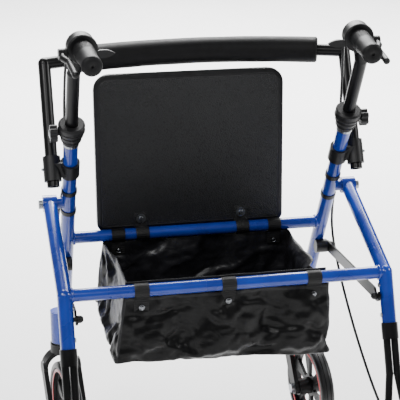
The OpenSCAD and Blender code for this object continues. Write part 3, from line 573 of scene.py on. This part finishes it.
for sign in (-1, 1):
    pick(foam, "VERT", lambda p: foam_end(p, sign))
    bpy.ops.mesh.select_mode(type="EDGE")
    bpy.ops.mesh.edge_face_add()
    bpy.ops.mesh.select_mode(type="FACE")
    bpy.ops.mesh.inset(thickness=0.0028, depth=0.0022)
    bpy.ops.mesh.inset(thickness=0.0085, depth=0.0)
    bpy.ops.mesh.inset(thickness=0.0012, depth=-0.006)
only(foam)
bpy.ops.object.mode_set(mode="EDIT")
bpy.ops.mesh.select_all(action="SELECT")
bpy.ops.mesh.normals_make_consistent(inside=False)
bpy.ops.object.mode_set(mode="OBJECT")
for v in foam.data.vertices:
    outward = Vector((0, v.co.y - (bow_middle.y + bow_r), v.co.z - BOW_Z))
    v.co += outward * 0.022 * noise.noise(v.co * 22)
foam.data.materials.append(foam_skin)
settle(foam, 60)
fit(foam, "backrest", "soft_grip", "backrest_foam")

# %% [markdown]
# ## The seat board
# The raised seat shows its underside: a board wrapped in grained vinyl, with a smooth pressed border
# round the edge. A cube is scaled to the board, its four corners are rounded by bevels, and the rear
# face is inset twice, first for the border and then for the shallow step inside it.

# %% The board and its cover
LEAN = math.radians(2.4)
HINGE = Vector((-0.008, BAR.y, BAR.z))
SEAT_MIDDLE = 152.5  # mm from the hinge to the middle of the board, along the board
HEAD_R, FOOT_R = 28, 14  # the radii of its corners, in mm


def seat_point(x, y, z):
    """A point given in mm from the seat's hinge, as the raised seat leans."""
    return HINGE + Matrix.Rotation(-LEAN, 3, "X") @ (Vector((x, y, z)) * MM)


def seat_slab(name, width, depth, thick, near):
    """A slab with round corners in the raised seat's own directions, near mm in front of the hinge."""
    fresh()
    bpy.ops.mesh.primitive_cube_add(size=1, location=(0, 0, 0))
    slab = bpy.context.object
    slab.name = slab.data.name = name
    slab.scale = (width * MM, thick * MM, depth * MM)
    bpy.ops.object.transform_apply(location=False, rotation=False, scale=True)
    for top, radius in ((True, HEAD_R), (False, FOOT_R)):
        pick(slab, "EDGE", lambda m, d: abs(d.y) > 0.9 * thick * MM and abs(d.x) + abs(d.z) < 1e-6
             and abs(abs(m.x) - width * MM / 2) < 1e-5 and (m.z > 0) == top)
        bpy.ops.mesh.bevel(offset=radius * MM, segments=8, affect="EDGES")
        bpy.ops.object.mode_set(mode="OBJECT")
    slab.matrix_world = Matrix.Translation(seat_point(0, near + thick / 2, SEAT_MIDDLE)) @ \
        Matrix.Rotation(-LEAN, 4, "X")
    return slab


board = seat_slab("seat_board_cover", 357, 297, 9, 13.48)
pick(board, "FACE", lambda p, n: n.y < -0.9)
bpy.ops.mesh.inset(thickness=0.0016, depth=0.0)
bpy.ops.transform.translate(value=(0, -0.0009, 0))
bpy.ops.mesh.inset(thickness=0.0066, depth=0.0)
bpy.ops.mesh.inset(thickness=0.0010, depth=-0.0008)
bpy.ops.mesh.inset(thickness=0.0010, depth=0.0008)
bpy.ops.object.mode_set(mode="OBJECT")
board.data.materials.append(vinyl)
board.data.materials.append(border_vinyl)
field = max((p for p in board.data.polygons if p.normal.y < -0.9), key=lambda p: p.area)
for p in board.data.polygons:
    p.material_index = 0 if p.index == field.index or p.normal.y > 0.9 else 1
modify(board, "BEVEL", width=0.0009, segments=2, limit_method="ANGLE", angle_limit=math.radians(40))
settle(board, 35)
fit(board, "seat", "vinyl", "seat_board")
print("board cover:", len(board.data.polygons), "faces")

# %% [markdown]
# ## The seat pad
# The pad on the other side is foam under the same vinyl. It is fullest in the middle, its sides pull
# in towards the board, and a welt runs round its edge. Cloth under a little air pressure finds that
# shape by itself: the slab is remeshed evenly, blown up a little, and kept from swelling too far.

# %% The seat pad


def swell(piece, anchored, pressure, frames, cap):
    """Blows a closed mesh up as cloth, with some points anchored, and caps how far any point moves."""
    rest = [v.co.copy() for v in piece.data.vertices]
    group = piece.vertex_groups.new(name="held")
    group.add([i for i, p in enumerate(rest) if anchored(p)], 1.0, "REPLACE")
    cloth = piece.modifiers.new("Cloth", "CLOTH")
    cloth.settings.quality, cloth.settings.mass = 5, 0.2
    cloth.settings.use_pressure, cloth.settings.uniform_pressure_force = True, pressure
    cloth.settings.vertex_group_mass = "held"
    cloth.settings.effector_weights.gravity = 0
    cloth.point_cache.frame_start, cloth.point_cache.frame_end = 1, frames
    for f in range(1, frames + 1):
        bpy.context.scene.frame_set(f)
    shaped = piece.evaluated_get(bpy.context.evaluated_depsgraph_get()).to_mesh()
    moved = [v.co - r for v, r in zip(shaped.vertices, rest)]
    piece.modifiers.remove(cloth)
    bpy.context.scene.frame_set(1)
    for v, r, step in zip(piece.data.vertices, rest, moved):
        v.co = r + step * min(1.0, cap / max(step.length, 1e-9))
    piece.vertex_groups.clear()


pad = seat_slab("seat_pad_cushion", 353, 293, 17, 22.9)
modify(pad, "BEVEL", width=0.006, segments=3, limit_method="ANGLE", angle_limit=math.radians(50))
modify(pad, "REMESH", mode="VOXEL", voxel_size=0.006)
swell(pad, lambda p: p.y < -0.0072, 4.0, 16, 0.007)
modify(pad, "SMOOTH", factor=0.5, iterations=3)
modify(pad, "SUBSURF", levels=1, render_levels=1)
pad.data.materials.clear()
pad.data.materials.append(vinyl)
settle(pad, 180)
fit(pad, "seat", "vinyl", "seat_pad")
print("seat pad:", len(pad.data.polygons), "faces")

# %% The welt round the pad
welt_path = []
for x0, z0, r0, a0 in ((148.5, 271, HEAD_R, 0), (-148.5, 271, HEAD_R, 90),
                       (-162.5, 20, FOOT_R, 180), (162.5, 20, FOOT_R, 270)):
    for k in range(7):
        a = math.radians(a0 + 15 * k)
        welt_path.append(seat_point(x0 + r0 * math.cos(a), 24.2, z0 + r0 * math.sin(a)))
line = bpy.data.curves.new("seat_welt", "CURVE")
line.dimensions, line.bevel_depth, line.bevel_resolution = "3D", 0.0021, 3
spline = line.splines.new("POLY")
spline.points.add(len(welt_path) - 1)
for point, where in zip(spline.points, welt_path):
    point.co = (*where, 1)
spline.use_cyclic_u = True
welt = bpy.data.objects.new("seat_welt", line)
bpy.context.scene.collection.objects.link(welt)
only(welt)
bpy.ops.object.convert(target="MESH")
welt = bpy.context.object
welt.data.materials.append(border_vinyl)
settle(welt, 60)
fit(welt, "seat", "vinyl")


# %% [markdown]
# ## Straps
# Each strap is a length of webbing that goes round a bar, with both ends laid together and closed by
# a press stud. The outline of the loop is drawn from the side, extruded to the strap's width, and
# given the webbing's thickness.

# %% Webbing straps
def strap(name, x, bar, side_y, tail, finish, up=-1, width=25, lean=0.0):
    """A strap round the bar. Its tail of that many mm hangs (up=-1) or stands (up=1) at side_y mm."""
    outline = []
    radius = 11.75
    turn = math.degrees(math.asin(max(-1, min(1, side_y / radius))))
    begin = 90 - turn if up > 0 else -90 + turn
    sweep = -350 if (side_y > 0) == (up > 0) else 350
    for k in range(31):
        a = math.radians(begin + sweep * k / 30)
        outline.append((radius * math.cos(a), radius * math.sin(a)))
    outline = [(side_y, up * (BAR_R + tail * part)) for part in (1.0, 0.66, 0.33)] \
        + [(side_y, up * 8)] + outline
    mesh = bpy.data.meshes.new(name)
    mesh.from_pydata([((x - width / 2) * MM, y * MM, z * MM) for y, z in outline],
                     [(i, i + 1) for i in range(len(outline) - 1)], [])
    obj = bpy.data.objects.new(name, mesh)
    bpy.context.scene.collection.objects.link(obj)
    only(obj)
    bpy.ops.object.mode_set(mode="EDIT")
    bpy.ops.mesh.select_all(action="SELECT")
    for _ in range(6):
        bpy.ops.mesh.extrude_region_move(TRANSFORM_OT_translate={"value": (width * MM / 6, 0, 0)})
    bpy.ops.mesh.select_all(action="SELECT")
    bpy.ops.mesh.remove_doubles(threshold=0.0002)
    bpy.ops.object.mode_set(mode="OBJECT")
    modify(obj, "SOLIDIFY", thickness=0.0013, offset=0.0)
    modify(obj, "BEVEL", width=0.0003, segments=2, limit_method="ANGLE", angle_limit=math.radians(50))
    mesh.materials.append(finish)
    obj.matrix_world = Matrix.Translation(bar) @ Matrix.Rotation(-lean, 4, "X")
    return settle(obj, 50)


FRONT_X, REAR_X, TAB_X = (-150, 150), (-150, 0, 150), (-96, 96)
front_straps = [strap("strap", x, BAR, -1.0, 27, webbing) for x in FRONT_X]
fit(join(front_straps, "front_strap_loops"), "front_frame", "nylon", "bag_front_straps")
rear_straps = [strap("strap", x, REAR, -1.0, 27, webbing) for x in REAR_X]
fit(join(rear_straps, "rear_strap_loops"), "rear_frame", "nylon", "bag_rear_straps")
tabs = [strap("tab", x, HINGE, 12.2, 27, vinyl, up=1, lean=LEAN) for x in TAB_X]
fit(join(tabs, "seat_tab_loops"), "seat", "vinyl", "seat_hinge_tabs")
print("straps:", len(front_straps) + len(rear_straps) + len(tabs))

# %% [markdown]
# ## Press studs
# A press stud's cap is spun from sheet brass: a rolled rim, a ring-shaped dip, and a low dome. One
# outline serves for all five.

# %% Press studs
stud = [(0.0, 2.7), (1.4, 2.6), (2.6, 2.2), (3.3, 1.6), (3.9, 1.5), (4.6, 2.0), (5.2, 1.9), (5.6, 1.2),
        (5.5, 0.4), (5.0, 0.0), (0.0, 0.0)]
for name, body, bar, places, node in (
        ("front_press_studs", "front_frame", BAR, FRONT_X, "bag_front_snaps"),
        ("rear_press_studs", "rear_frame", REAR, REAR_X, "bag_rear_snaps")):
    made = [lathe("stud", stud, black_nickel, 32, bar + Vector((x, -1.6, -30)) * MM, (0, -1, 0))
            for x in places]
    fit(join(made, name), body, "steel", node)
print("press studs done")

# %% [markdown]
# ## Brake cables
# Each cable is steel wire in a plastic sheath. It leaves the brake hood forwards, arches over, runs
# down beside the main tube under two clips, and on to the rear brake. The points are those of the
# frame's own cable, joined by a smooth curve.

# %% Cable routes
UPPER = [(234, -193, 898), (236, -160, 900), (241, -120, 884), (247, -96, 840), (250, -84, 780),
         (251, -78, 720), (252, -72, 672), (253, -50, 611)]
LOWER = [(253, -50, 611), (260, -28, 562), (265, -4, 508), (268, 0, 470), (269, -24, 430),
         (269, -80, 380), (270, -160, 322), (273, -250, 266), (278, -326, 226), (279, -350, 215)]


def cable(name, route, sign):
    """A round cable through the route's points, with closed ends."""
    points = [Vector((sign * x, y + BAR.y * 1000, z)) * MM for x, y, z in route]
    path, steps = [], 6
    for i in range(len(points) - 1):
        a, b = points[max(i - 1, 0)], points[i]
        c, d = points[i + 1], points[min(i + 2, len(points) - 1)]
        for k in range(steps):
            t = k / steps
            path.append(b + (c - a) * t / 2 + (2 * a - 5 * b + 4 * c - d) * t * t / 2
                        + (3 * b - a - 3 * c + d) * t ** 3 / 2)
    path.append(points[-1])
    line = bpy.data.curves.new(name, "CURVE")
    line.dimensions, line.bevel_depth, line.bevel_resolution = "3D", 0.0025, 3
    line.use_fill_caps = True
    spline = line.splines.new("POLY")
    spline.points.add(len(path) - 1)
    for point, where in zip(spline.points, path):
        point.co = (*where, 1)
    obj = bpy.data.objects.new(name, line)
    bpy.context.scene.collection.objects.link(obj)
    only(obj)
    bpy.ops.object.convert(target="MESH")
    obj = bpy.context.object
    obj.data.materials.clear()
    obj.data.materials.append(sheath)
    return settle(obj, 60)


for side, sign in SIDES:
    upper = cable("upper_cable_" + side, UPPER, sign)
    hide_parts("brake_cable_upper_" + side)
    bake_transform(upper)
lower = join([cable("cable", LOWER, -1), cable("cable", LOWER, 1)], "lower_cables")
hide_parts("brake_cables_lower")
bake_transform(lower)

# %% [markdown]
# ## Tyres and wheels
# The tyres are solid, and snap over the rim. Their tread has two grooves round it and fine ribs
# across it. The outline gives the grooves. For the ribs, every other strip of the tread's faces is
# pressed in a little. A red ring sits just inside each tyre, on both faces of the wheel.


# %% Tyres
TYRE_STEPS = 120


def ribbed(tyre):
    """Presses in every other strip of the tread, which leaves ribs across it."""
    strip = 2 * math.pi / TYRE_STEPS
    pick(tyre, "FACE", lambda p, n: math.hypot(p.x, p.y) > 0.0915
         and int((math.atan2(p.y, p.x) + 4 * math.pi) / strip) % 2 == 0)
    bpy.ops.transform.shrink_fatten(value=-0.0007)
    bpy.ops.object.mode_set(mode="OBJECT")


half_tread = [(80.2, 10.2), (82.5, 13.4), (86.0, 14.0), (90.0, 13.7), (93.0, 12.0), (94.4, 9.6),
              (94.8, 5.4), (93.6, 4.9), (93.6, 3.7), (94.9, 3.2)]
tread = [(r, -h) for r, h in half_tread] + [(95.0, 0.0)] + half_tread[::-1] + [(80.2, -10.2)]
halo = [(73.2, 0.0), (73.4, 0.9), (75.4, 1.3), (78.0, 1.2), (79.2, 0.6), (79.4, 0.0), (73.2, 0.0)]
for joint in frame["joints"]:
    if not joint["name"].endswith(("wheel_spin_left", "wheel_spin_right")):
        continue
    end, _, _, side = joint["name"].split("_")
    centre, axle = Vector(joint["pos_m"]), Vector(joint["axis"])
    tyre = lathe(f"{end}_tyre_tread_{side}", tread, tyre_pvc, TYRE_STEPS, centre, axle, ribbed)
    fit(tyre, f"{end}_wheel_{side}", "tyre", f"{end}_tyre_{side}")
    rings = [lathe("ring", halo, red_ring, 72, centre + axle * (11.0 * MM * way), axle * way)
             for way in (-1, 1)]
    fit(join(rings, f"{end}_wheel_ring_{side}"), f"{end}_wheel_{side}", "tyre")
print("tyre tread:", len(tyre.data.polygons), "faces")

# %% [markdown]
# ## The bag
# The tote bag hangs between the two crossbars. It is sewn from five panels with tape over the seams
# and round the mouth. Its front and rear walls hang from the bars, and its sides are held only at
# their upper corners, so they gather. A card stiffens its floor, so the lower edges stay straight.
# The way to get real folds is to cut the cloth a little too big: the panels are held along the bars
# and the card, told to be a few per cent larger than they are, and left to buckle. The bag flares
# towards its floor, and its left end hangs a little higher than its right.

# %% The bag's panels
HALF_W, TOP, DEEP = 0.180, BAR.z - 0.0118, 0.136
FRONT, BACK = BAR.y + 0.001, REAR.y + 0.001
SEAM, PATCH = 0.005, 0.0075  # the rounding at the seams and the width of the cloth's faces, in metres
fresh()
bpy.ops.mesh.primitive_cube_add(size=1, location=(0, 0, 0))
bag = bpy.context.object
bag.name = bag.data.name = "tote_bag"
bag.scale = (2 * HALF_W, FRONT - BACK, DEEP)
bag.location = (0, (FRONT + BACK) / 2, TOP - DEEP / 2)
bpy.ops.object.transform_apply(location=True, rotation=False, scale=True)
pick(bag, "FACE", lambda p, n: n.z > 0.9)
bpy.ops.mesh.delete(type="FACE")
bpy.ops.object.mode_set(mode="OBJECT")
pick(bag, "EDGE", lambda m, d: abs(d.z) > 0.9 * DEEP or m.z < TOP - DEEP + 0.001)
bpy.ops.mesh.bevel(offset=SEAM, segments=2, affect="EDGES")
bpy.ops.object.mode_set(mode="OBJECT")


def slice_bag(axis, begin, end):
    """Cuts the bag with parallel planes, so that the cloth gets even, square faces."""
    count = int((end - begin) / PATCH)
    for k in range(1, count):
        at, normal = [0, 0, 0], [0, 0, 0]
        at[axis], normal[axis] = begin + (end - begin) * k / count, 1
        bpy.ops.mesh.select_all(action="SELECT")
        bpy.ops.mesh.bisect(plane_co=at, plane_no=normal)


only(bag)
bpy.ops.object.mode_set(mode="EDIT")
slice_bag(0, -HALF_W + SEAM, HALF_W - SEAM)
slice_bag(1, BACK + SEAM, FRONT - SEAM)
slice_bag(2, TOP - DEEP + SEAM, TOP)
bpy.ops.mesh.select_all(action="SELECT")
bpy.ops.mesh.remove_doubles(threshold=0.0003)
bpy.ops.mesh.normals_make_consistent(inside=False)
bpy.ops.object.mode_set(mode="OBJECT")


# %% Letting the cloth buckle
EXTRA = 0.06


def leftness(x):
    """0 at the bag's right end and 1 at its left."""
    return 0.5 - x / (2 * HALF_W)


def flare(x, depth):
    """How many times wider the bag is at a depth between 0 at the mouth and 1 at the floor."""
    return 1 + (0.03 + 0.07 * leftness(x)) * min(1, depth * 1.1)


for v in bag.data.vertices:
    depth = (TOP - v.co.z) / DEEP
    fold = noise.noise(Vector((v.co.x * 16, v.co.y * 16, v.co.z * 9)))
    v.co += 0.004 * fold * Vector((0.5, 1.0, 0.3)) * min(1, depth * 4)
    v.co.z += 0.014 * leftness(v.co.x) * depth
    v.co.x *= flare(v.co.x, depth)
rest = [v.co.copy() for v in bag.data.vertices]


def hung(p):
    """Whether a point is held: the edges on the bars, the upper corners, and the stiff floor."""
    on_bar = p.z > TOP - 0.004 and (p.y > FRONT - 0.004 or p.y < BACK + 0.004)
    by_corner = abs(p.x) > HALF_W - 0.010 and min(p.y - BACK, FRONT - p.y) < 0.012 and p.z > TOP - 0.03
    in_floor = p.z < TOP - DEEP * (0.99 - 0.1 * leftness(p.x)) + 0.004
    return on_bar or by_corner or in_floor


held = bag.vertex_groups.new(name="held")
held.add([i for i, p in enumerate(rest) if hung(p)], 1.0, "REPLACE")
cloth = bag.modifiers.new("Cloth", "CLOTH")
cloth.settings.quality, cloth.settings.mass = 7, 0.12
cloth.settings.tension_stiffness, cloth.settings.compression_stiffness = 14, 14
cloth.settings.shear_stiffness, cloth.settings.bending_stiffness = 4, 0.08
cloth.settings.shrink_min = -EXTRA
cloth.settings.vertex_group_mass = "held"
cloth.settings.effector_weights.gravity = 0.35
cloth.point_cache.frame_start, cloth.point_cache.frame_end = 1, 26
for f in range(1, 27):
    bpy.context.scene.frame_set(f)
shaped = bag.evaluated_get(bpy.context.evaluated_depsgraph_get()).to_mesh()
moved = [v.co - r for v, r in zip(shaped.vertices, rest)]
bag.modifiers.remove(cloth)
bpy.context.scene.frame_set(1)
print("cloth moved up to", round(max(m.length for m in moved) * 1000, 1), "mm")
for v, r, step in zip(bag.data.vertices, rest, moved):
    step.z = max(step.z, -0.004)
    v.co = r + step * min(1.0, 0.016 / max(step.length, 1e-9))
bag.vertex_groups.clear()

# %% Binding tape, wall and finish of the bag
for finish in (taffeta, binding, lightened_inner_cloth, binding):
    bag.data.materials.append(finish)


def wide(p):
    """Half the bag's width at the height of a point."""
    return HALF_W * flare(p.x, (TOP - p.z) / DEEP)


for p in bag.data.polygons:
    middle = sum((rest[i] for i in p.vertices), Vector()) / len(p.vertices)
    corner = abs(middle.x) > wide(middle) - 0.007 and min(middle.y - BACK, FRONT - middle.y) < 0.007
    p.material_index = 1 if middle.z > TOP - 0.008 or corner else 0
modify(bag, "SUBSURF", levels=1, render_levels=1)


def ridge(p, size):
    """A crease field: sharp crests where a slow noise crosses zero, 1 on a crest and 0 between."""
    warp = noise.noise_vector(p / size * 0.6) * 0.7
    return max(0.0, 1 - 5 * abs(noise.noise(Vector((p.x, p.y, p.z * 1.5)) / size + warp)))


for v in bag.data.vertices:
    to_wall = (wide(v.co) - abs(v.co.x), min(v.co.y - BACK, FRONT - v.co.y), v.co.z - TOP + DEEP)
    loose = max(0, min(1, (TOP - v.co.z) / 0.03, sorted(to_wall)[1] / 0.02))
    height = 0.0042 * ridge(v.co, 0.085) + 0.0018 * ridge(v.co + Vector((3, 1, 2)), 0.036)
    v.co -= v.normal * height * loose
modify(bag, "SOLIDIFY", thickness=0.0011, offset=0.0, use_even_offset=False, material_offset=2)
settle(bag, 180)
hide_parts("bag")
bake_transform(bag)
print("bag:", len(bag.data.polygons), "faces")

# %% [markdown]
# ## The mouth's hem
# The rear mouth of the bag is turned up on the inner side of the rear bar and ends in a rolled hem,
# which shows as a thin line above the bar. It is a strip of the same cloth: an outline seen from the
# side, extruded along the bar, with a slight wave.

# %% The rear hem
lip = [(0.5, -13.5), (5.0, -12.9), (9.5, -9.6), (12.6, -4.0), (13.3, 2.0), (12.9, 8.0), (12.4, 10.4),
       (13.2, 11.6), (14.2, 10.9), (13.9, 9.8)]
HEM_HALF, STEPS = 0.176, 44
mesh = bpy.data.meshes.new("rear_mouth_hem")
mesh.from_pydata([(-HEM_HALF, REAR.y + y * MM, REAR.z + z * MM) for y, z in lip],
                 [(i, i + 1) for i in range(len(lip) - 1)], [])
hem = bpy.data.objects.new("rear_mouth_hem", mesh)
bpy.context.scene.collection.objects.link(hem)
only(hem)
bpy.ops.object.mode_set(mode="EDIT")
bpy.ops.mesh.select_all(action="SELECT")
for _ in range(STEPS):
    bpy.ops.mesh.extrude_region_move(TRANSFORM_OT_translate={"value": (2 * HEM_HALF / STEPS, 0, 0)})
bpy.ops.mesh.select_all(action="SELECT")
bpy.ops.mesh.remove_doubles(threshold=0.0002)
bpy.ops.object.mode_set(mode="OBJECT")
for v in hem.data.vertices:
    v.co.z += 0.0008 * noise.noise(Vector((v.co.x * 30, 0, 0))) * (v.co.z > REAR.z)
    v.co.y += 0.0012 * noise.noise(Vector((v.co.x * 22, 5, 0)))
modify(hem, "SOLIDIFY", thickness=0.0009, offset=0.0)
modify(hem, "SUBSURF", levels=1, render_levels=1)
hem.data.materials.append(binding)
settle(hem, 180)
fit(hem, "rear_frame", "nylon")
print("hem:", len(hem.data.polygons), "faces")
